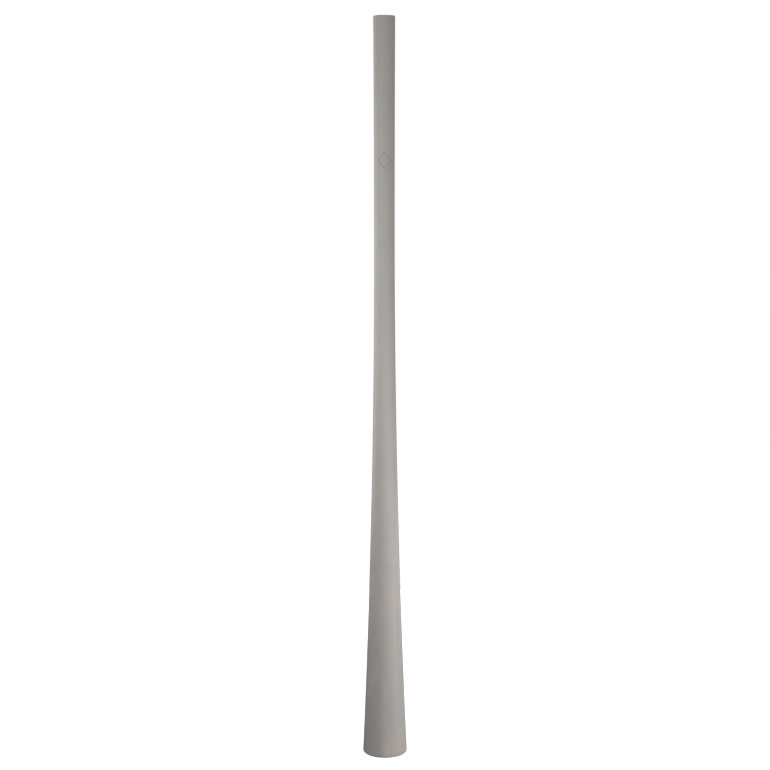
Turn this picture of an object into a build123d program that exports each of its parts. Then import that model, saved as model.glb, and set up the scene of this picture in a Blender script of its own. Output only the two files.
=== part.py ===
from build123d import *
import os

# A straight didgeridoo of glass laminate: an hourglass tube, slightly waisted near the player's end and
# flaring to the bell. It is laid up as two half shells in a split mould, joined edge to edge and taped
# inside, with a moulded ring round the bell and a push-in mouthpiece that seals with two O-rings.
# Millimetres. The origin is the centre of the bell's face, +Z runs up the air column to the mouth, and
# the front, which carries the mark, faces -Y.

# Outline of the tube, outside
overall_length = 1450.0
bell_diameter = 88.3
waist_diameter = 39.8
waist_height = 1042.0
wall = 2.2

# Player's end, from the air column outwards
mouth_bore = 29.0
spigot_wall = 2.6
spigot_length = 34.0
slide_clearance = 0.1  # radial, spigot in socket
socket_wall = 1.25
socket_spare = 8.0  # the socket runs this far past the spigot
lip_height = 4.2  # the part of the mouthpiece that stands above the tube
lip_outer_round = 2.4
lip_inner_round = 3.0
spigot_chamfer = 0.8
socket_chamfer = 0.5

# O-rings on the spigot
seal_section = 1.6
seal_clearance = 0.03  # radial, seal in socket: the rubber takes up the rest when it is squeezed
seal_seat_gap = 0.02  # radial, between a seal and the floor of its groove
groove_side_room = 0.25
seal_count = 2
first_seal_depth = 9.0  # below the lip
seal_spacing = 14.0

# Bell ring
ring_height = 8.0  # the part that shows below the laminate
ring_thickness = 7.5  # radial, at the bell's face
ring_outer_round = 4.5
ring_inner_round = 1.5
ring_bore_height = 13.0  # straight part of the ring's bore
flange_height = 24.0  # the part that is bonded inside the laminate
flange_edge = 0.8  # thickness left at the top of the scarf

# Glass tape over each seam, inside
tape_width = 20.0
tape_thickness = 0.8
tape_end_gap = 2.0  # from the flange below and the socket above

# Glue line between bonded faces
bond_gap = 0.1

# Lozenge outline on the front
mark_height = 33.0
mark_width = 25.0
mark_line = 1.4
mark_thickness = 0.2
mark_centre_height = 1177.0

# Radii and heights that follow
bell_radius = bell_diameter / 2
waist_radius = waist_diameter / 2
bore_radius = mouth_bore / 2
spigot_radius = bore_radius + spigot_wall
socket_bore_radius = spigot_radius + slide_clearance
socket_radius = socket_bore_radius + socket_wall
seat_radius = socket_radius + bond_gap
shell_top = overall_length - lip_height
socket_length = spigot_length + socket_spare
socket_foot = shell_top - socket_length
ring_bore_radius = bell_radius - ring_thickness
flange_top = ring_height + flange_height

# The upper curve meets the socket's foot with a whole wall of laminate round the seat
socket_share = (socket_foot - waist_height) / (overall_length - waist_height)
mouth_radius = waist_radius + (seat_radius + wall - waist_radius) / socket_share**2


def outline_radius(height):
    """Outside radius of the tube: a parabola each side of the waist."""
    if height < waist_height:
        share = (waist_height - height) / waist_height
        return waist_radius + (bell_radius - waist_radius) * share**2
    share = (height - waist_height) / (overall_length - waist_height)
    return waist_radius + (mouth_radius - waist_radius) * share**2


def outline_slope(height):
    """How fast the outside radius grows with height."""
    if height < waist_height:
        return -2 * (bell_radius - waist_radius) * (waist_height - height) / waist_height**2
    reach = overall_length - waist_height
    return 2 * (mouth_radius - waist_radius) * (height - waist_height) / reach**2


def curve_points(inset, low, high):
    """Control points that give one parabola exactly, a distance inset inside the outline."""
    half = (high - low) / 2
    low_radius = outline_radius(low) - inset
    high_radius = outline_radius(high) - inset
    middle_radius = low_radius + outline_slope(low) * half
    return (low_radius, low), (middle_radius, low + half), (high_radius, high)


def wall_curve(inset, low, high):
    """Draws the outline from low to high, a distance inset inside it, broken at the waist."""
    stops = [low, waist_height, high] if low < waist_height < high else [low, high]
    for start, end in zip(stops, stops[1:]):
        Bezier(*curve_points(inset, start, end))


def at_wall(inset, height):
    """The point of the section a distance inset inside the outline."""
    return (outline_radius(height) - inset, height)


# Half shells, meeting edge to edge on the plane of the X and Z axes
with BuildPart() as shell_back:
    with BuildSketch(Plane.XZ):
        with BuildLine():
            wall_curve(0, ring_height, shell_top)
            Polyline(at_wall(0, shell_top), (seat_radius, shell_top), at_wall(wall, socket_foot))
            wall_curve(wall, ring_height, socket_foot)
            Line(at_wall(wall, ring_height), at_wall(0, ring_height))
        make_face()
    revolve(axis=Axis.Z, revolution_arc=180)
shell_back.part.label = "shell_back"

with BuildPart() as shell_front:
    mirror(shell_back.part, about=Plane.XZ)
shell_front.part.label = "shell_front"

# Glass tape: a strip of even width down each seam, following the inside of the tube
tape_outer = wall + bond_gap
tape_inner = tape_outer + tape_thickness
tape_foot = flange_top + tape_end_gap
tape_top = socket_foot - tape_end_gap
with BuildPart() as seam_tape_right:
    with BuildSketch(Plane.XZ):
        with BuildLine():
            wall_curve(tape_outer, tape_foot, tape_top)
            Line(at_wall(tape_outer, tape_top), at_wall(tape_inner, tape_top))
            wall_curve(tape_inner, tape_foot, tape_top)
            Line(at_wall(tape_inner, tape_foot), at_wall(tape_outer, tape_foot))
        make_face()
    revolve(axis=Axis.Z)
    with Locations((bell_diameter / 2, 0, overall_length / 2)):
        Box(bell_diameter, tape_width, overall_length, mode=Mode.INTERSECT)
seam_tape_right.part.label = "seam_tape_right"

with BuildPart() as seam_tape_left:
    mirror(seam_tape_right.part, about=Plane.YZ)
seam_tape_left.part.label = "seam_tape_left"

# Bell ring: the laminate stands on its step, and its flange is scarfed so that the air column has no ledge
flange_inset = wall + bond_gap
with BuildPart() as bell_ring:
    with BuildSketch(Plane.XZ):
        with BuildLine():
            wall_curve(0, 0, ring_height)
            Line(at_wall(0, ring_height), at_wall(flange_inset, ring_height))
            wall_curve(flange_inset, ring_height, flange_top)
            Polyline(
                at_wall(flange_inset, flange_top),
                at_wall(flange_inset + flange_edge, flange_top),
                (ring_bore_radius, ring_bore_height),
                (ring_bore_radius, 0),
                (bell_radius, 0),
            )
        make_face()
        fillet(vertices().group_by(Axis.Y)[0].sort_by(Axis.X)[-1], radius=ring_outer_round)
        fillet(vertices().group_by(Axis.Y)[0].sort_by(Axis.X)[0], radius=ring_inner_round)
    revolve(axis=Axis.Z)
bell_ring.part.label = "bell_ring"

# Socket: a sleeve bonded into the player's end, which the mouthpiece slides in
with BuildPart() as mouth_socket:
    with BuildSketch(Plane.XY.offset(socket_foot)):
        Circle(socket_radius)
        Circle(socket_bore_radius, mode=Mode.SUBTRACT)
    extrude(amount=socket_length)
    bore_edges = edges().filter_by(GeomType.CIRCLE).sort_by(SortBy.RADIUS)[:2]
    chamfer(bore_edges, length=socket_chamfer)
mouth_socket.part.label = "mouth_socket"

# Mouthpiece: a rounded lip flush with the tube, above a grooved spigot
lip_radius = outline_radius(shell_top)
spigot_foot = shell_top - spigot_length
seal_heights = [shell_top - first_seal_depth - seal_spacing * i for i in range(seal_count)]
seal_ring_radius = socket_bore_radius - seal_clearance - seal_section / 2
groove_radius = seal_ring_radius - seal_section / 2 - seal_seat_gap
groove_depth = spigot_radius - groove_radius
groove_width = seal_section + 2 * groove_side_room
with BuildPart() as mouthpiece:
    with BuildSketch(Plane.XZ):
        with BuildLine():
            Polyline(
                (bore_radius, spigot_foot),
                (spigot_radius, spigot_foot),
                (spigot_radius, shell_top),
                (lip_radius, shell_top),
                (lip_radius, overall_length),
                (bore_radius, overall_length),
                close=True,
            )
        make_face()
        fillet(vertices().group_by(Axis.Y)[-1].sort_by(Axis.X)[-1], radius=lip_outer_round)
        fillet(vertices().group_by(Axis.Y)[-1].sort_by(Axis.X)[0], radius=lip_inner_round)
        chamfer(vertices().group_by(Axis.Y)[0], length=spigot_chamfer)
        with Locations(*((spigot_radius - groove_depth / 2, height) for height in seal_heights)):
            Rectangle(groove_depth, groove_width, mode=Mode.SUBTRACT)
    revolve(axis=Axis.Z)
mouthpiece.part.label = "mouthpiece"

with BuildPart() as mouthpiece_seals:
    with Locations(*((0, 0, height) for height in seal_heights)):
        Torus(seal_ring_radius, seal_section / 2)
mouthpiece_seals.part.label = "mouthpiece_seals"

# Mark: a lozenge outline of thin film, wrapped round the front
mark_low = mark_centre_height - mark_height / 2
mark_high = mark_centre_height + mark_height / 2
with BuildPart() as front_mark:
    with BuildSketch(Plane.XZ):
        with BuildLine():
            wall_curve(0, mark_low, mark_high)
            Line(at_wall(0, mark_high), at_wall(-mark_thickness, mark_high))
            wall_curve(-mark_thickness, mark_low, mark_high)
            Line(at_wall(-mark_thickness, mark_low), at_wall(0, mark_low))
        make_face()
    revolve(axis=Axis.Z)
    with BuildSketch(Plane.XZ):
        with BuildLine():
            Polyline(
                (0, mark_low),
                (mark_width / 2, mark_centre_height),
                (0, mark_high),
                (-mark_width / 2, mark_centre_height),
                close=True,
            )
        make_face()
        offset(amount=-mark_line, mode=Mode.SUBTRACT)
    extrude(amount=bell_radius, mode=Mode.INTERSECT)
front_mark.part.label = "front_mark"

os.makedirs("parts", exist_ok=True)
export_step(shell_back.part, "parts/shell_back.step")
export_step(shell_front.part, "parts/shell_front.step")
export_step(seam_tape_right.part, "parts/seam_tape_right.step")
export_step(seam_tape_left.part, "parts/seam_tape_left.step")
export_step(bell_ring.part, "parts/bell_ring.step")
export_step(mouth_socket.part, "parts/mouth_socket.step")
export_step(mouthpiece.part, "parts/mouthpiece.step")
export_step(mouthpiece_seals.part, "parts/mouthpiece_seals.step")
export_step(front_mark.part, "parts/front_mark.step")
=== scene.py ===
import math

import bmesh
import bpy
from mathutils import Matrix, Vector


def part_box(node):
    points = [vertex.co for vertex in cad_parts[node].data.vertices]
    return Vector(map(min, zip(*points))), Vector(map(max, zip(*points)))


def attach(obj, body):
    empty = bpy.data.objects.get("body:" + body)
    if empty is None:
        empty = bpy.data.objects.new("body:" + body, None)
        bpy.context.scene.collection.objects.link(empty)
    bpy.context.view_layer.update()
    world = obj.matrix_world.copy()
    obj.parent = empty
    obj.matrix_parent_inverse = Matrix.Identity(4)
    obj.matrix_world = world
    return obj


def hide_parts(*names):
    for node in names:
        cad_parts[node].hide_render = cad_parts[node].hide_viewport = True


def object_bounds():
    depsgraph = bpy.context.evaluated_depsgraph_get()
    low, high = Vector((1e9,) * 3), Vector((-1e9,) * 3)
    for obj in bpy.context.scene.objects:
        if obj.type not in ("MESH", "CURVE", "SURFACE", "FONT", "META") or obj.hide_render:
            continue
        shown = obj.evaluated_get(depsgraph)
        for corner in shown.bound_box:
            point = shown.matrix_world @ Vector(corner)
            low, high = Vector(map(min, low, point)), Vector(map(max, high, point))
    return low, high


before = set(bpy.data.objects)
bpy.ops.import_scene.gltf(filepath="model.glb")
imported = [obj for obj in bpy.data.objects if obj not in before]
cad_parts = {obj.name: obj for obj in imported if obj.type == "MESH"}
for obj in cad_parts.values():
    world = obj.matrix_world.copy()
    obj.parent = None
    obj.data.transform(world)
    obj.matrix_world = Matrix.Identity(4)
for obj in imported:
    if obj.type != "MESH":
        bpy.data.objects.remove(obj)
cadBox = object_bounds()
print("frame loaded:", ", ".join(sorted(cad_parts)))

mm = 0.001
# how near points are merged, or count as lying on a ring, on the seam or on the flash line
tolerance = {"merge": 0.005 * mm, "ring": 0.02 * mm, "seam": 0.001 * mm, "flash": 0.01 * mm}


def workOn(piece=None):
    if bpy.context.object and bpy.context.object.mode == "EDIT":
        bpy.ops.object.mode_set(mode="OBJECT")
    bpy.ops.object.select_all(action="DESELECT")
    if piece:
        piece.select_set(True)
        bpy.context.view_layer.objects.active = piece


def settle(name):
    # names the new primitive and moves its place into its mesh
    piece = bpy.context.object
    piece.name = name
    piece.data.name = name
    bpy.ops.object.transform_apply(location=True, rotation=True, scale=True)
    return piece


def copyOf(piece, name):
    twin = piece.copy()
    twin.data = piece.data.copy()
    twin.name = name
    twin.data.name = name
    bpy.context.scene.collection.objects.link(twin)
    return twin


def pickEdges(piece, wanted):
    bpy.ops.mesh.select_mode(type="EDGE")
    bpy.ops.mesh.select_all(action="DESELECT")
    mesh = bmesh.from_edit_mesh(piece.data)
    for edge in mesh.edges:
        edge.select = wanted(*(corner.co for corner in edge.verts))
    mesh.select_flush_mode()
    bmesh.update_edit_mesh(piece.data)


def offAxis(point):
    return math.hypot(point.x, point.y)


def turn(name, section, sides, closed=True):
    # turned piece: a ring at the section's first point, extruded and sized from point to point
    workOn()
    radius, height = section[0]
    bpy.ops.mesh.primitive_circle_add(vertices=sides, radius=radius, location=(0, 0, height))
    piece = settle(name)
    bpy.ops.object.mode_set(mode="EDIT")
    bpy.ops.mesh.select_all(action="SELECT")
    for nextRadius, nextHeight in section[1:]:
        grow = nextRadius / radius
        rise = (0, 0, nextHeight - height)
        bpy.ops.mesh.extrude_region_move(TRANSFORM_OT_translate={"value": rise})
        bpy.ops.transform.resize(value=(grow, grow, 1), center_override=(0, 0, nextHeight))
        radius, height = nextRadius, nextHeight
    bpy.ops.mesh.select_all(action="SELECT")
    bpy.ops.mesh.remove_doubles(threshold=tolerance["merge"])
    bpy.ops.mesh.normals_make_consistent(inside=not closed)
    return piece


def roundRings(piece, rings, width, steps):
    # bevels the rings that lie at these radii and heights
    near = tolerance["ring"]

    def onRing(*ends):
        return any(all(abs(offAxis(end) - radius) < near and abs(end.z - height) < near
                       for end in ends) for radius, height in rings)
    pickEdges(piece, onRing)
    bpy.ops.mesh.bevel(offset=width, offset_type="OFFSET", segments=steps, affect="EDGES")


def addModifier(piece, kind, **settings):
    workOn(piece)
    bpy.ops.object.modifier_add(type=kind)
    modifier = piece.modifiers[-1]
    for key, value in settings.items():
        setattr(modifier, key, value)
    bpy.ops.object.modifier_apply(modifier=modifier.name)


def smooth(piece, degrees=32):
    # soft shading that leans on the large faces, so that a bevel doesn't bend the shading beside it
    workOn(piece)
    bpy.ops.object.shade_smooth_by_angle(angle=math.radians(degrees))
    addModifier(piece, "WEIGHTED_NORMAL", mode="FACE_AREA", weight=100, keep_sharp=True)


class Wire:
    # an output socket that can be written into sums
    def __init__(self, socket):
        self.socket = socket
        self.tree = socket.id_data

    def node(self, kind, settings, inputs, output=0):
        made = self.tree.nodes.new(kind)
        for key, value in settings.items():
            setattr(made, key, value)
        for key, value in inputs.items():
            if isinstance(value, Wire):
                self.tree.links.new(value.socket, made.inputs[key])
            else:
                made.inputs[key].default_value = value
        return Wire(made.outputs[output])

    def sum(self, operation, first, second):
        return self.node("ShaderNodeMath", {"operation": operation}, {0: first, 1: second})

    def __add__(self, other):
        return self.sum("ADD", self, other)

    __radd__ = __add__

    def __sub__(self, other):
        return self.sum("SUBTRACT", self, other)

    def __rsub__(self, other):
        return self.sum("SUBTRACT", other, self)

    def __mul__(self, other):
        return self.sum("MULTIPLY", self, other)

    __rmul__ = __mul__

    def orMore(self, other):
        return self.sum("MAXIMUM", self, other)

    def wave(self):
        return self.node("ShaderNodeMath", {"operation": "SINE"}, {0: self})

    def part(self, axis):
        return self.node("ShaderNodeSeparateXYZ", {}, {0: self}, "XYZ".index(axis))

    def turned(self, degrees, scale):
        angles = tuple(math.radians(a) for a in degrees)
        return self.node("ShaderNodeMapping", {},
                         {"Vector": self, "Rotation": angles, "Scale": scale})

    def noise(self, scale, detail=2.0, roughness=0.5):
        return self.node("ShaderNodeTexNoise", {},
                         {"Vector": self, "Scale": scale, "Detail": detail, "Roughness": roughness})

    def between(self, low, high):
        # 0 below low, 1 above high
        return self.node("ShaderNodeMapRange", {"interpolation_type": "SMOOTHSTEP"},
                         {"Value": self, "From Min": low, "From Max": high})

    def tint(self, colour):
        # brightens or darkens a colour by up to a half
        grey = self.mix((0.5, 0.5, 0.5, 1), (1.5, 1.5, 1.5, 1))
        return self.node("ShaderNodeMix", {"data_type": "RGBA", "blend_type": "MULTIPLY"},
                         {0: 1.0, 6: colour, 7: grey}, 2)

    def mix(self, first, second):
        return self.node("ShaderNodeMix", {"data_type": "RGBA"}, {0: self, 6: first, 7: second}, 2)

    def bump(self, depth):
        return self.node("ShaderNodeBump", {}, {"Height": self, "Distance": depth, "Strength": 1.0})


def newFinish(name, **constants):
    # a material with its shader, and the place on the object that its patterns read
    material = bpy.data.materials.new(name)
    material.use_nodes = True
    shader = material.node_tree.nodes["Principled BSDF"]
    for key, value in constants.items():
        shader.inputs[key.replace("_", " ")].default_value = value
    place = Wire(material.node_tree.nodes.new("ShaderNodeTexCoord").outputs["Object"])
    return material, shader, place


def feed(shader, **wires):
    for key, wire in wires.items():
        wire.tree.links.new(wire.socket, shader.inputs[key.replace("_", " ")])


# camera: in front, at about three quarters of the tube's height, looking slightly down
camera = {"distance": 3.091, "height": 1.125, "aside": 0.0012, "tilt": 7.06, "roll": 0.06,
          "focal": 74.42, "sensor": 36, "farthest": 60}
eye = bpy.data.cameras.new("eye")
eye.lens = camera["focal"]
eye.sensor_width = camera["sensor"]
eye.clip_end = camera["farthest"]
eyeObject = bpy.data.objects.new("eye", eye)
eyeObject.location = (camera["aside"], -camera["distance"], camera["height"])
eyeObject.rotation_euler = (math.radians(90 - camera["tilt"]), math.radians(camera["roll"]), 0)
bpy.context.scene.collection.objects.link(eyeObject)
bpy.context.scene.camera = eyeObject
print("camera set")


# outline of the tube: a parabola each side of the waist, through the ends that the frame gives
tube = {"waistRadius": 19.9 * mm, "waistHeight": 1042 * mm, "wall": 2.2 * mm, "glueLine": 0.1 * mm,
        "rings": 44, "sides": 144, "endBevel": 0.2 * mm, "seamBevel": 0.1 * mm,
        "seamDepth": 0.3 * mm, "bevelSteps": 2}
shellLow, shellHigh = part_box("shell_back")
ringHeight = shellLow.z
shellTop = shellHigh.z
lowRadius = shellHigh.x
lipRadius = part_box("mouthpiece")[1].x
mouthTop = cadBox[1][2]
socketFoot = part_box("mouth_socket")[0].z
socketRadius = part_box("mouth_socket")[1].x
seatRadius = socketRadius + tube["glueLine"]


def outline(height):
    waist = tube["waistRadius"]
    if height < tube["waistHeight"]:
        share = (tube["waistHeight"] - height) / (tube["waistHeight"] - ringHeight)
        return waist + (lowRadius - waist) * share**2
    share = (height - tube["waistHeight"]) / (shellTop - tube["waistHeight"])
    return waist + (lipRadius - waist) * share**2


def wallRun(inset, low, high, steps):
    # points of the outline from one height to another, moved in by inset
    heights = [low + (high - low) * i / steps for i in range(steps + 1)]
    return [(outline(height) - inset, height) for height in heights]


# half shells: one turned tube, cut down the middle
shellSection = wallRun(0, ringHeight, shellTop, tube["rings"])
shellSection += [(seatRadius, shellTop), (seatRadius, socketFoot)]
shellSection += wallRun(tube["wall"], socketFoot, ringHeight, tube["rings"])
shellSection += [shellSection[0]]
wholeTube = turn("wholeTube", shellSection, tube["sides"])
roundRings(wholeTube, [(lipRadius, shellTop), (lowRadius, ringHeight)], tube["endBevel"],
           tube["bevelSteps"])


def halfShell(name, front):
    half = copyOf(wholeTube, name)
    workOn(half)
    bpy.ops.object.mode_set(mode="EDIT")
    bpy.ops.mesh.select_all(action="SELECT")
    bpy.ops.mesh.bisect(plane_co=(0, 0, 0), plane_no=(0, 1, 0), use_fill=True,
                        clear_outer=front, clear_inner=not front)

    def onOuterSeam(a, b):
        return all(abs(p.y) < tolerance["seam"] and abs(p.x) > outline(p.z) - tube["seamDepth"]
                   for p in (a, b))
    pickEdges(half, onOuterSeam)
    bpy.ops.mesh.bevel(offset=tube["seamBevel"], offset_type="OFFSET", segments=tube["bevelSteps"],
                       affect="EDGES")
    smooth(half)
    return half


workOn(wholeTube)  # leaves edit mode, so that the copies have the turned shape
shellFront = halfShell("shellFront", True)
shellBack = halfShell("shellBack", False)
bpy.data.objects.remove(wholeTube)
print("half shells cut")


# bell ring: rounded foot, a step the shells stand on, and a scarfed flange inside them
bell = {"thickness": 7.5 * mm, "boreHeight": 13 * mm, "flangeEdge": 0.8 * mm, "flangeRings": 6,
        "outerRound": 4.5 * mm, "outerSteps": 10, "innerRound": 1.5 * mm, "innerSteps": 6,
        "jointBevel": 0.12 * mm, "bevelSteps": 2, "sides": 144}
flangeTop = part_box("bell_ring")[1].z
flangeInset = tube["wall"] + tube["glueLine"]
bellRadius = outline(0)
bellBore = bellRadius - bell["thickness"]
aboveRound = bell["outerRound"] * 1.4  # clear of the rounding below it
bellSection = [(bellRadius, 0)] + wallRun(0, aboveRound, ringHeight, 2)
bellSection += wallRun(flangeInset, ringHeight, flangeTop, bell["flangeRings"])
bellSection += [(outline(flangeTop) - flangeInset - bell["flangeEdge"], flangeTop),
                (bellBore, bell["boreHeight"]), (bellBore, 0), bellSection[0]]
bellRing = turn("bellRing", bellSection, bell["sides"])
roundRings(bellRing, [(bellRadius, 0)], bell["outerRound"], bell["outerSteps"])
roundRings(bellRing, [(bellBore, 0)], bell["innerRound"], bell["innerSteps"])
roundRings(bellRing, [(lowRadius, ringHeight), (bellBore, bell["boreHeight"])],
           bell["jointBevel"], bell["bevelSteps"])
smooth(bellRing)
print("bell ring turned")


# socket: the sleeve in the player's end
socket = {"wall": 1.25 * mm, "boreChamfer": 0.5 * mm, "outerBevel": 0.2 * mm, "bevelSteps": 2,
          "sides": 128, "rings": 6}
socketBore = socketRadius - socket["wall"]
socketRise = [(shellTop - socketFoot) * i / socket["rings"] for i in range(socket["rings"] + 1)]
socketSection = [(socketRadius, socketFoot + rise) for rise in socketRise]
socketSection += [(socketBore, shellTop - rise) for rise in socketRise]
socketSection += [socketSection[0]]
mouthSocket = turn("mouthSocket", socketSection, socket["sides"])
roundRings(mouthSocket, [(socketBore, shellTop), (socketBore, socketFoot)],
           socket["boreChamfer"], 1)
roundRings(mouthSocket, [(socketRadius, shellTop), (socketRadius, socketFoot)],
           socket["outerBevel"], socket["bevelSteps"])
smooth(mouthSocket)
print("socket turned")


# mouthpiece: rounded lip and a spigot with two grooves
mouth = {"bore": 14.5 * mm, "slide": 0.1 * mm, "outerRound": 2.4 * mm, "innerRound": 3.0 * mm,
         "spigotChamfer": 0.8 * mm, "grooveRoom": 0.25 * mm, "grooveDepth": 1.55 * mm,
         "grooveBevel": 0.12 * mm, "grooveSteps": 2, "jointBevel": 0.3 * mm, "jointSteps": 3,
         "roundSteps": 10, "sides": 144}
seal = {"section": 1.6 * mm, "clearance": 0.03 * mm, "flashWidth": 0.12 * mm,
        "flashSteps": 2, "around": 144, "across": 20, "smoothing": 50}
spigotRadius = socketBore - mouth["slide"]
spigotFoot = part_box("mouthpiece")[0].z
sealLow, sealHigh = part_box("mouthpiece_seals")
sealHeights = [sealLow.z + seal["section"] / 2, sealHigh.z - seal["section"] / 2]
grooveHalf = seal["section"] / 2 + mouth["grooveRoom"]
grooveRadius = spigotRadius - mouth["grooveDepth"]
mouthSection = [(mouth["bore"], spigotFoot), (spigotRadius, spigotFoot)]
for height in sealHeights:
    mouthSection += [(spigotRadius, height - grooveHalf), (grooveRadius, height - grooveHalf),
                     (grooveRadius, height + grooveHalf), (spigotRadius, height + grooveHalf)]
mouthSection += [(spigotRadius, shellTop), (lipRadius, shellTop), (lipRadius, mouthTop),
                 (mouth["bore"], mouthTop), (mouth["bore"], shellTop),
                 (mouth["bore"], (shellTop + spigotFoot) / 2), mouthSection[0]]
mouthpiece = turn("pushInMouthpiece", mouthSection, mouth["sides"])
grooveRings = [(radius, height + side * grooveHalf) for radius in (spigotRadius, grooveRadius)
               for height in sealHeights for side in (-1, 1)]
roundRings(mouthpiece, [(lipRadius, mouthTop)], mouth["outerRound"], mouth["roundSteps"])
roundRings(mouthpiece, [(mouth["bore"], mouthTop)], mouth["innerRound"], mouth["roundSteps"])
roundRings(mouthpiece, [(mouth["bore"], spigotFoot), (spigotRadius, spigotFoot)],
           mouth["spigotChamfer"], 1)
roundRings(mouthpiece, grooveRings, mouth["grooveBevel"], mouth["grooveSteps"])
roundRings(mouthpiece, [(lipRadius, shellTop)], mouth["jointBevel"], mouth["jointSteps"])
smooth(mouthpiece)
print("mouthpiece turned")


# O-rings, with the mould's flash line round the inner side
sealRadius = socketBore - seal["clearance"] - seal["section"] / 2


def oRing(name, height):
    workOn()
    bpy.ops.mesh.primitive_torus_add(major_segments=seal["around"], minor_segments=seal["across"],
                                     major_radius=sealRadius, minor_radius=seal["section"] / 2,
                                     location=(0, 0, height))
    ring = settle(name)
    bpy.ops.object.mode_set(mode="EDIT")

    def onMiddle(a, b):
        return all(abs(p.z - height) < tolerance["flash"] and offAxis(p) < sealRadius
                   for p in (a, b))
    pickEdges(ring, onMiddle)
    bpy.ops.mesh.bevel(offset=seal["flashWidth"], offset_type="OFFSET", segments=seal["flashSteps"],
                       profile=1.0, affect="EDGES")
    smooth(ring, seal["smoothing"])
    return ring


sealRings = [oRing("sealLower", sealHeights[0]), oRing("sealUpper", sealHeights[1])]
print("seals made")


# formers: bare surfaces that the tapes and the mark are laid on
former = {"sides": 256, "tapeRings": 60, "markRings": 120}
tapeFormer = turn("tapeFormer", wallRun(flangeInset, ringHeight, socketFoot, former["tapeRings"]),
                  former["sides"], closed=False)
markFormer = turn("markFormer", wallRun(0, ringHeight, shellTop, former["markRings"]),
                  former["sides"], closed=False)


# glass tape over each seam: a strip projected onto the wall, then given its thickness
tape = {"width": 20 * mm, "thickness": 0.8 * mm, "across": 16, "along": 220, "ragged": 0.35 * mm,
        "smoothing": 50}
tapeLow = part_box("seam_tape_right")[0].z
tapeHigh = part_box("seam_tape_right")[1].z


def seamTape(name, side, seed):
    workOn()
    length = tapeHigh - tapeLow - 2 * tape["ragged"]
    middle = (0, 0, (tapeLow + tapeHigh) / 2)
    bpy.ops.mesh.primitive_grid_add(x_subdivisions=tape["along"], y_subdivisions=tape["across"],
                                    size=length, location=middle, rotation=(0, math.radians(90), 0))
    strip = settle(name)
    bpy.ops.object.mode_set(mode="EDIT")
    bpy.ops.mesh.select_all(action="SELECT")
    bpy.ops.transform.resize(value=(1, (tape["width"] - 2 * tape["ragged"]) / length, 1),
                             center_override=middle)

    def onLongEdge(a, b):
        edgeBand = 1.2 * tape["ragged"]
        return all(abs(p.y) > tape["width"] / 2 - edgeBand for p in (a, b))
    pickEdges(strip, onLongEdge)
    bpy.ops.transform.vertex_random(offset=tape["ragged"], uniform=1.0, normal=0.0, seed=seed)
    addModifier(strip, "SHRINKWRAP", target=tapeFormer, wrap_method="PROJECT", use_project_x=True,
                use_negative_direction=side < 0, use_positive_direction=side > 0)
    bpy.ops.object.mode_set(mode="EDIT")
    bpy.ops.mesh.select_all(action="SELECT")
    bpy.ops.mesh.normals_make_consistent(inside=False)
    addModifier(strip, "SOLIDIFY", thickness=tape["thickness"], offset=-1)
    smooth(strip, tape["smoothing"])
    return strip


seamTapeRight = seamTape("seamTapeRight", side=1, seed=3)
seamTapeLeft = seamTape("seamTapeLeft", side=-1, seed=8)
print("tapes laid")


# mark: a lozenge outline of thin film on the front
mark = {"width": 25 * mm, "height": 33 * mm, "line": 1.4 * mm, "film": 0.08 * mm, "cuts": 14,
        "smoothing": 40}
markLow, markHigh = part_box("front_mark")
workOn()
bpy.ops.mesh.primitive_circle_add(vertices=4, radius=mark["height"] / 2, fill_type="NGON",
                                  location=(0, -lowRadius, (markLow.z + markHigh.z) / 2),
                                  rotation=(math.radians(90), 0, 0))
frontMark = settle("frontMark")
bpy.ops.object.mode_set(mode="EDIT")
bpy.ops.mesh.select_mode(type="FACE")
bpy.ops.mesh.select_all(action="SELECT")
bpy.ops.transform.resize(value=(mark["width"] / mark["height"], 1, 1), center_override=(0, 0, 0))
bpy.ops.mesh.inset(thickness=mark["line"])
bpy.ops.mesh.delete(type="FACE")
bpy.ops.mesh.select_all(action="SELECT")
bpy.ops.mesh.subdivide(number_cuts=mark["cuts"])
addModifier(frontMark, "SHRINKWRAP", target=markFormer, wrap_method="PROJECT", use_project_y=True,
            use_negative_direction=True, use_positive_direction=True)
bpy.ops.object.mode_set(mode="EDIT")
bpy.ops.mesh.select_all(action="SELECT")
bpy.ops.mesh.normals_make_consistent(inside=False)
addModifier(frontMark, "SOLIDIFY", thickness=mark["film"], offset=1)
smooth(frontMark, mark["smoothing"])
bpy.data.objects.remove(tapeFormer)
bpy.data.objects.remove(markFormer)
print("mark laid")


# finishes: a scale is how fine a pattern is, and a cut is the range of noise over which it sets in
gelcoat = {"warm": (0.330, 0.309, 0.289, 1), "cool": (0.312, 0.304, 0.290, 1), "hueScale": 11,
           "hueCut": (0.35, 0.65), "roughness": 0.46, "cloudScale": 7, "mottleScale": 60,
           "speckleScale": 2400, "clouds": 0.12, "mottle": 0.12, "speckle": 0.30,
           "mottleRough": 0.20, "cloudRough": 0.12, "peelScale": 420, "peel": 0.10 * mm,
           "grainScale": 3000, "grain": 0.10}
wearing = {"hairlineTurn": (0, 0, 31), "hairlineScale": (1100, 1100, 14),
           "hairlineCut": (0.60, 0.70), "hairlineRough": 0.10, "rubTurn": (0, 9, 0),
           "rubScale": (80, 80, 22), "rubCut": (0.50, 0.62), "rubRough": 0.14,
           "elsewhere": 0.25, "tone": 0.05, "depth": 0.15}


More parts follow.
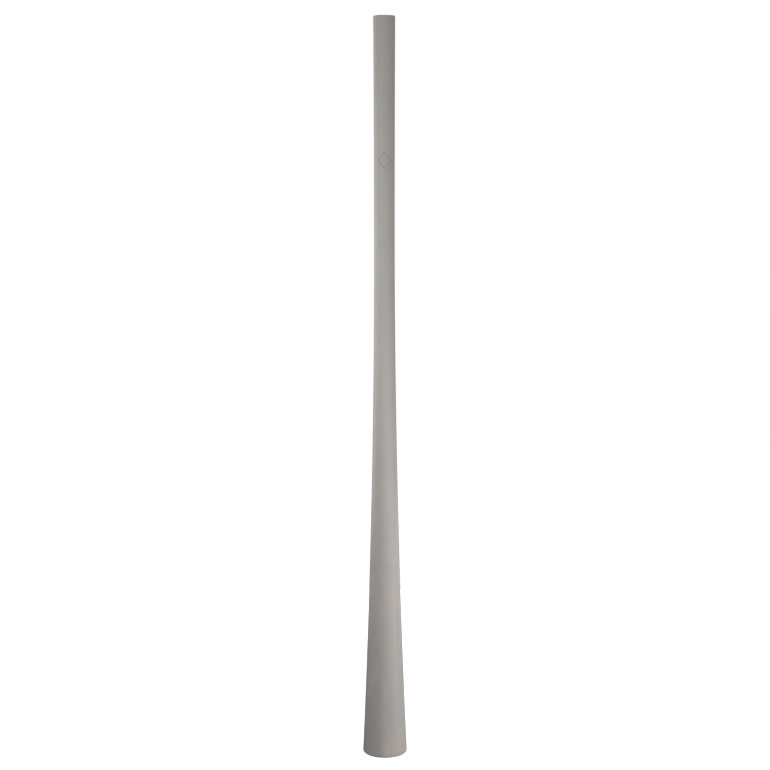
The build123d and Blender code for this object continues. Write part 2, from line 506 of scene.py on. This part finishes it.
def gelcoatFinish(name, roughness, peelShare, wornAt, wornOver):
    # rubs and scuffs are heaviest at the height wornAt and fade out over wornOver
    material, shader, place = newFinish(name)
    clouds = place.noise(gelcoat["cloudScale"], 3) - 0.5
    mottle = place.noise(gelcoat["mottleScale"], 3, 0.6) - 0.5
    speckle = place.noise(gelcoat["speckleScale"], 1) - 0.5
    hairlines = place.turned(wearing["hairlineTurn"], wearing["hairlineScale"]) \
        .noise(1, 2, 0.6).between(*wearing["hairlineCut"])
    rubs = place.turned(wearing["rubTurn"], wearing["rubScale"]) \
        .noise(1, 4, 0.65).between(*wearing["rubCut"])
    fromWorn = place.part("Z") - wornAt
    worn = 1 - (fromWorn * fromWorn).between(0, wornOver**2)
    wear = (wearing["elsewhere"] + (1 - wearing["elsewhere"]) * worn) * hairlines
    hue = place.noise(gelcoat["hueScale"], 2).between(*gelcoat["hueCut"])
    # tone 0.5 is the pigment itself, 0 half as bright and 1 half as bright again
    tone = 0.5 + gelcoat["clouds"] * clouds + gelcoat["mottle"] * mottle \
        + gelcoat["speckle"] * speckle + wearing["tone"] * wear + wearing["tone"] * worn * rubs
    rough = roughness + gelcoat["mottleRough"] * mottle + gelcoat["cloudRough"] * clouds \
        + wearing["hairlineRough"] * wear + wearing["rubRough"] * worn * rubs
    peel = place.noise(gelcoat["peelScale"], 2, 0.45) \
        + gelcoat["grain"] * place.noise(gelcoat["grainScale"], 1)
    feed(shader, Base_Color=tone.tint(hue.mix(gelcoat["cool"], gelcoat["warm"])), Roughness=rough,
         Normal=(peel - wearing["depth"] * wear).bump(gelcoat["peel"] * peelShare))
    return material


laminate = {"resin": (0.150, 0.148, 0.135, 1), "glass": (0.262, 0.262, 0.238, 1), "resinScale": 60,
            "strandTurns": ((20, 10, 0), (75, 40, 10), (-50, 65, 30), (10, -80, 55)),
            "strandScale": (60, 900, 900), "strandCut": (0.60, 0.74), "roughness": 0.36,
            "relief": 0.12 * mm}


def laminateFinish():
    # chopped strands lying four ways in clear resin
    material, shader, place = newFinish("rawLaminate")
    layers = [place.turned(degrees, laminate["strandScale"]).noise(1, 1)
              for degrees in laminate["strandTurns"]]
    strands = layers[0]
    for layer in layers[1:]:
        strands = strands.orMore(layer)
    fibre = strands.between(*laminate["strandCut"])
    resin = place.noise(laminate["resinScale"], 3)
    colour = (0.75 * fibre + 0.5 * (resin - 0.5)).mix(laminate["resin"], laminate["glass"])
    feed(shader, Base_Color=colour,
         Roughness=laminate["roughness"] + 0.25 * fibre + 0.15 * (resin - 0.5),
         Normal=(fibre + 0.6 * resin).bump(laminate["relief"]))
    return material


sawnEdge = {"dark": (0.20, 0.195, 0.18, 1), "pale": (0.34, 0.335, 0.31, 1), "dustScale": 700,
            "plyScale": 2600, "roughness": 0.62, "relief": 0.05 * mm}


def edgeFinish():
    material, shader, place = newFinish("cutEdge")
    dust = place.noise(sawnEdge["dustScale"], 3)
    ply = place.noise(sawnEdge["plyScale"], 1)
    colour = (0.6 * dust + 0.4 * ply).mix(sawnEdge["dark"], sawnEdge["pale"])
    feed(shader, Base_Color=colour, Roughness=sawnEdge["roughness"] + 0.2 * (dust - 0.5),
         Normal=(dust + 0.4 * ply).bump(sawnEdge["relief"]))
    return material


sealRubber = {"dark": (0.012, 0.012, 0.012, 1), "bloomed": (0.034, 0.034, 0.035, 1),
              "grainScale": 5200, "grain": 0.008 * mm, "bloomScale": 240, "bloomCut": (0.45, 0.75),
              "roughness": 0.48}


def rubberFinish():
    material, shader, place = newFinish("sealRubber")
    grain = place.noise(sealRubber["grainScale"], 2)
    bloom = place.noise(sealRubber["bloomScale"], 2).between(*sealRubber["bloomCut"])
    colour = (0.5 * grain + 0.5 * bloom).mix(sealRubber["dark"], sealRubber["bloomed"])
    feed(shader, Base_Color=colour, Roughness=sealRubber["roughness"] + 0.2 * bloom,
         Normal=grain.bump(sealRubber["grain"]))
    return material


turnedPlastic = {"dark": (0.045, 0.045, 0.046, 1), "pale": (0.085, 0.085, 0.086, 1),
                 "lineScale": 900, "waver": 0.6, "waverDetail": 2, "waverScale": 0.2,
                 "lineDepth": 0.01 * mm, "cloudScale": 90, "roughness": 0.34}


def turnedFinish():
    # fine turning lines round the sleeve
    material, shader, place = newFinish("turnedPlastic")
    lines = place.node("ShaderNodeTexWave", {"wave_type": "BANDS", "bands_direction": "Z"},
                       {"Vector": place, "Scale": turnedPlastic["lineScale"],
                        "Distortion": turnedPlastic["waver"],
                        "Detail": turnedPlastic["waverDetail"],
                        "Detail Scale": turnedPlastic["waverScale"]})
    cloud = place.noise(turnedPlastic["cloudScale"], 3)
    colour = (0.5 * cloud + 0.25 * lines).mix(turnedPlastic["dark"], turnedPlastic["pale"])
    feed(shader, Base_Color=colour, Roughness=turnedPlastic["roughness"] + 0.16 * cloud,
         Normal=lines.bump(turnedPlastic["lineDepth"]))
    return material


weave = {"resin": (0.17, 0.17, 0.15, 1), "glass": (0.33, 0.33, 0.29, 1), "waveNumber": 3140,
         "resinScale": 70, "roughness": 0.30, "relief": 0.15 * mm}


def tapeFinish():
    # plain weave of about 2 mm pitch: two crossed waves, wetted out with resin
    material, shader, place = newFinish("glassTape")
    along = (place.part("Z") * weave["waveNumber"]).wave()
    across = (place.part("Y") * weave["waveNumber"]).wave()
    threads = 0.5 + 0.5 * along * across
    resin = place.noise(weave["resinScale"], 3)
    colour = (0.55 * threads + 0.4 * resin).mix(weave["resin"], weave["glass"])
    feed(shader, Base_Color=colour, Roughness=weave["roughness"] + 0.25 * threads + 0.1 * resin,
         Normal=(threads + 0.7 * resin).bump(weave["relief"]))
    return material


film = {"dark": (0.205, 0.197, 0.185, 1), "pale": (0.245, 0.236, 0.222, 1), "speckScale": 1500,
        "cloudScale": 120, "roughness": 0.50, "relief": 0.01 * mm}


def filmFinish():
    material, shader, place = newFinish("markFilm")
    speck = place.noise(film["speckScale"], 2)
    cloud = place.noise(film["cloudScale"], 2)
    colour = (0.5 * speck + 0.5 * cloud).mix(film["dark"], film["pale"])
    feed(shader, Base_Color=colour, Roughness=film["roughness"] + 0.15 * (cloud - 0.5),
         Normal=speck.bump(film["relief"]))
    return material


shellFinish = gelcoatFinish("gelcoat", gelcoat["roughness"], peelShare=1.0, wornAt=0, wornOver=0.25)
ringFinish = gelcoatFinish("ringPaint", gelcoat["roughness"] + 0.03, peelShare=1.0, wornAt=0,
                           wornOver=0.012)
lipFinish = gelcoatFinish("lipPaint", gelcoat["roughness"] - 0.09, peelShare=0.5, wornAt=mouthTop,
                          wornOver=0.008)
rawLaminate = laminateFinish()
cutEdge = edgeFinish()


def dress(piece, *materials):
    piece.data.materials.clear()
    for material in materials:
        piece.data.materials.append(material)


facing = {"outer": 0.2, "inner": -0.5}  # how far a face looks outwards, from -1 to 1


def dressShell(half):
    # gelcoat outside, raw laminate inside, cut edges at the seams and ends
    dress(half, shellFinish, rawLaminate, cutEdge)
    for face in half.data.polygons:
        outwards = face.normal.dot(Vector((face.center.x, face.center.y, 0)).normalized())
        if outwards > facing["outer"]:
            face.material_index = 0
        elif outwards < facing["inner"]:
            face.material_index = 1
        else:
            face.material_index = 2


dressShell(shellFront)
dressShell(shellBack)
dress(bellRing, ringFinish)
dress(mouthpiece, lipFinish)
dress(mouthSocket, turnedFinish())
dress(frontMark, filmFinish())
rubber = rubberFinish()
for ring in sealRings:
    dress(ring, rubber)
weaveFinish = tapeFinish()
dress(seamTapeRight, weaveFinish)
dress(seamTapeLeft, weaveFinish)
print("finishes on")


# each piece on its body, in place of its CAD node
places = [
    (shellFront, "tube", "shell_front", "shell_laminate"),
    (shellBack, "tube", "shell_back", "shell_laminate"),
    (bellRing, "tube", "bell_ring", "ring_plastic"),
    (mouthSocket, "tube", "mouth_socket", "socket_plastic"),
    (seamTapeRight, "tube", "seam_tape_right", "glass_tape"),
    (seamTapeLeft, "tube", "seam_tape_left", "glass_tape"),
    (frontMark, "tube", "front_mark", "mark_film"),
    (mouthpiece, "mouth_end", "mouthpiece", "mouthpiece_plastic"),
    (sealRings[0], "mouth_end", "mouthpiece_seals", "seal_rubber"),
    (sealRings[1], "mouth_end", "mouthpiece_seals", "seal_rubber"),
]
for piece, body, node, slotName in places:
    workOn()
    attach(piece, body)
    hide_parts(node)
print("pieces on their bodies")


# studio: a pale floor that glows to white, and a world that is white to the camera and dim to the
# object, lighting it from the right
studio = {"floorSize": 40, "floorTone": 0.3, "floorGlow": 0.96, "sky": 0.371, "skyFrom": -0.5,
          "skyTo": 0.5}
workOn()
bpy.ops.mesh.primitive_plane_add(size=studio["floorSize"], location=(0, 0, 0))
floor = settle("floor")
floorFinish, floorShader, _ = newFinish("floorWhite", Roughness=0.9, Specular_IOR_Level=0.0)
floorShader.inputs["Base Color"].default_value = (studio["floorTone"],) * 3 + (1,)
floorShader.inputs["Emission Color"].default_value = (1, 1, 1, 1)
floorShader.inputs["Emission Strength"].default_value = studio["floorGlow"]
dress(floor, floorFinish)
floor.visible_diffuse = False
floor.visible_glossy = False

world = bpy.data.worlds.new("studio")
bpy.context.scene.world = world
world.use_nodes = True
background = world.node_tree.nodes["Background"]
background.inputs["Color"].default_value = (1, 1, 1, 1)
seenByCamera = Wire(world.node_tree.nodes.new("ShaderNodeLightPath").outputs["Is Camera Ray"])
direction = Wire(world.node_tree.nodes.new("ShaderNodeTexCoord").outputs["Generated"])
sky = direction.part("X").between(studio["skyFrom"], studio["skyTo"]) * studio["sky"]
skyStrength = seenByCamera + (1 - seenByCamera) * sky
world.node_tree.links.new(skyStrength.socket, background.inputs["Strength"])

# soft boxes in a ring round the tube. Each row says how far the box is turned from the front, in
# degrees and right positive, how high its middle is, its width, height, power and tone. The upper
# ones stand left and the lower ones right. The fill behind makes no reflections, so that the tube
# keeps its edges against the white.
boxRing = {"radius": 1.3, "cool": (1, 1, 1), "warm": (1, 0.97, 0.97), "fill": (1, 1, 1)}
softBoxes = [
    ("leftRearHigh", -118, 1.40, 0.7, 0.6, 3.4, "cool"),
    ("leftRearMiddle", -118, 0.90, 0.7, 0.6, 3.9, "cool"),
    ("leftRearLow", -118, 0.45, 0.7, 0.5, 3.2, "cool"),
    ("leftSide", -78, 0.90, 0.7, 0.6, 5.0, "cool"),
    ("leftFrontHigh", -38, 1.40, 0.7, 0.6, 3.4, "cool"),
    ("leftFrontMiddle", -38, 0.90, 0.7, 0.6, 4.0, "cool"),
    ("front", -10, 0.90, 0.7, 0.6, 3.7, "cool"),
    ("frontLow", 20, 0.45, 0.7, 0.5, 4.9, "warm"),
    ("rightFrontLow", 45, 0.45, 0.7, 0.5, 2.0, "warm"),
    ("rightFoot", 70, 0.15, 0.7, 0.3, 6.5, "warm"),
    ("rightRearFoot", 120, 0.15, 0.7, 0.3, 2.9, "warm"),
    ("rearHigh", 180, 1.15, 1.0, 0.7, 8.0, "fill"),
    ("rearLow", 180, 0.35, 1.0, 0.7, 8.0, "fill"),
]
overhead = {"height": 2.65, "size": 0.3, "power": 15}


def softBox(name, place, turned, width, height, power, tone):
    lamp = bpy.data.lights.new(name, "AREA")
    lamp.shape = "RECTANGLE"
    lamp.size = width
    lamp.size_y = height
    lamp.energy = power
    lamp.color = boxRing[tone]
    box = bpy.data.objects.new(name, lamp)
    box.location = place
    box.rotation_euler = turned
    box.visible_camera = False
    box.visible_glossy = tone != "fill"
    bpy.context.scene.collection.objects.link(box)


for name, degrees, height, boxWidth, boxHeight, power, tone in softBoxes:
    bearing = math.radians(degrees)
    place = (boxRing["radius"] * math.sin(bearing), -boxRing["radius"] * math.cos(bearing), height)
    softBox(name, place, (math.radians(90), 0, bearing), boxWidth, boxHeight, power, tone)
softBox("overhead", (0, 0, overhead["height"]), (0, 0, 0), overhead["size"], overhead["size"],
        overhead["power"], "cool")
bpy.context.scene.view_settings.view_transform = "Standard"
print("studio lit")
